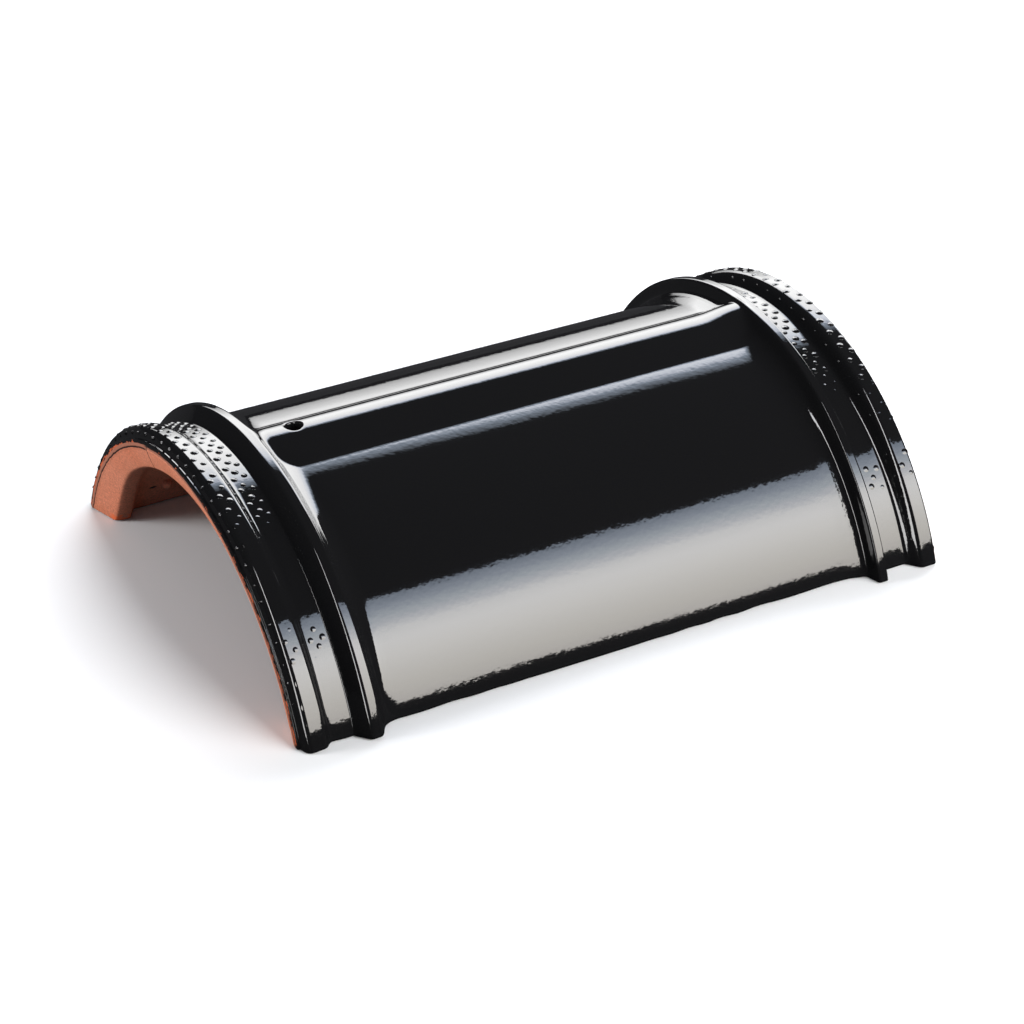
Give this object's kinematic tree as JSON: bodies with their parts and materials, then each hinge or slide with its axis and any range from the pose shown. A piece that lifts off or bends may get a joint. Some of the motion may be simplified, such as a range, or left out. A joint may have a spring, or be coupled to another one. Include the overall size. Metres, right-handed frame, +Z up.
{
  "type": "glazed ridge tile",
  "caption": "Half-round glazed clay ridge tile with a raised collar near each end, studded lap bands, a rib along the crown and a nail hole.",
  "frame": {"origin": "centre of the tile's footprint, on the level its legs rest on", "axes": "+X along the ridge from the studded lap end to the wider covering end, +Z up through the crown, Y across the tile"},
  "size_m": [0.34, 0.2664, 0.094],
  "materials": {
    "glazed_clay": "gloss"
  },
  "bodies": {
    "root": {"ridge_tile": "glazed_clay"}
  },
  "joints": []
}
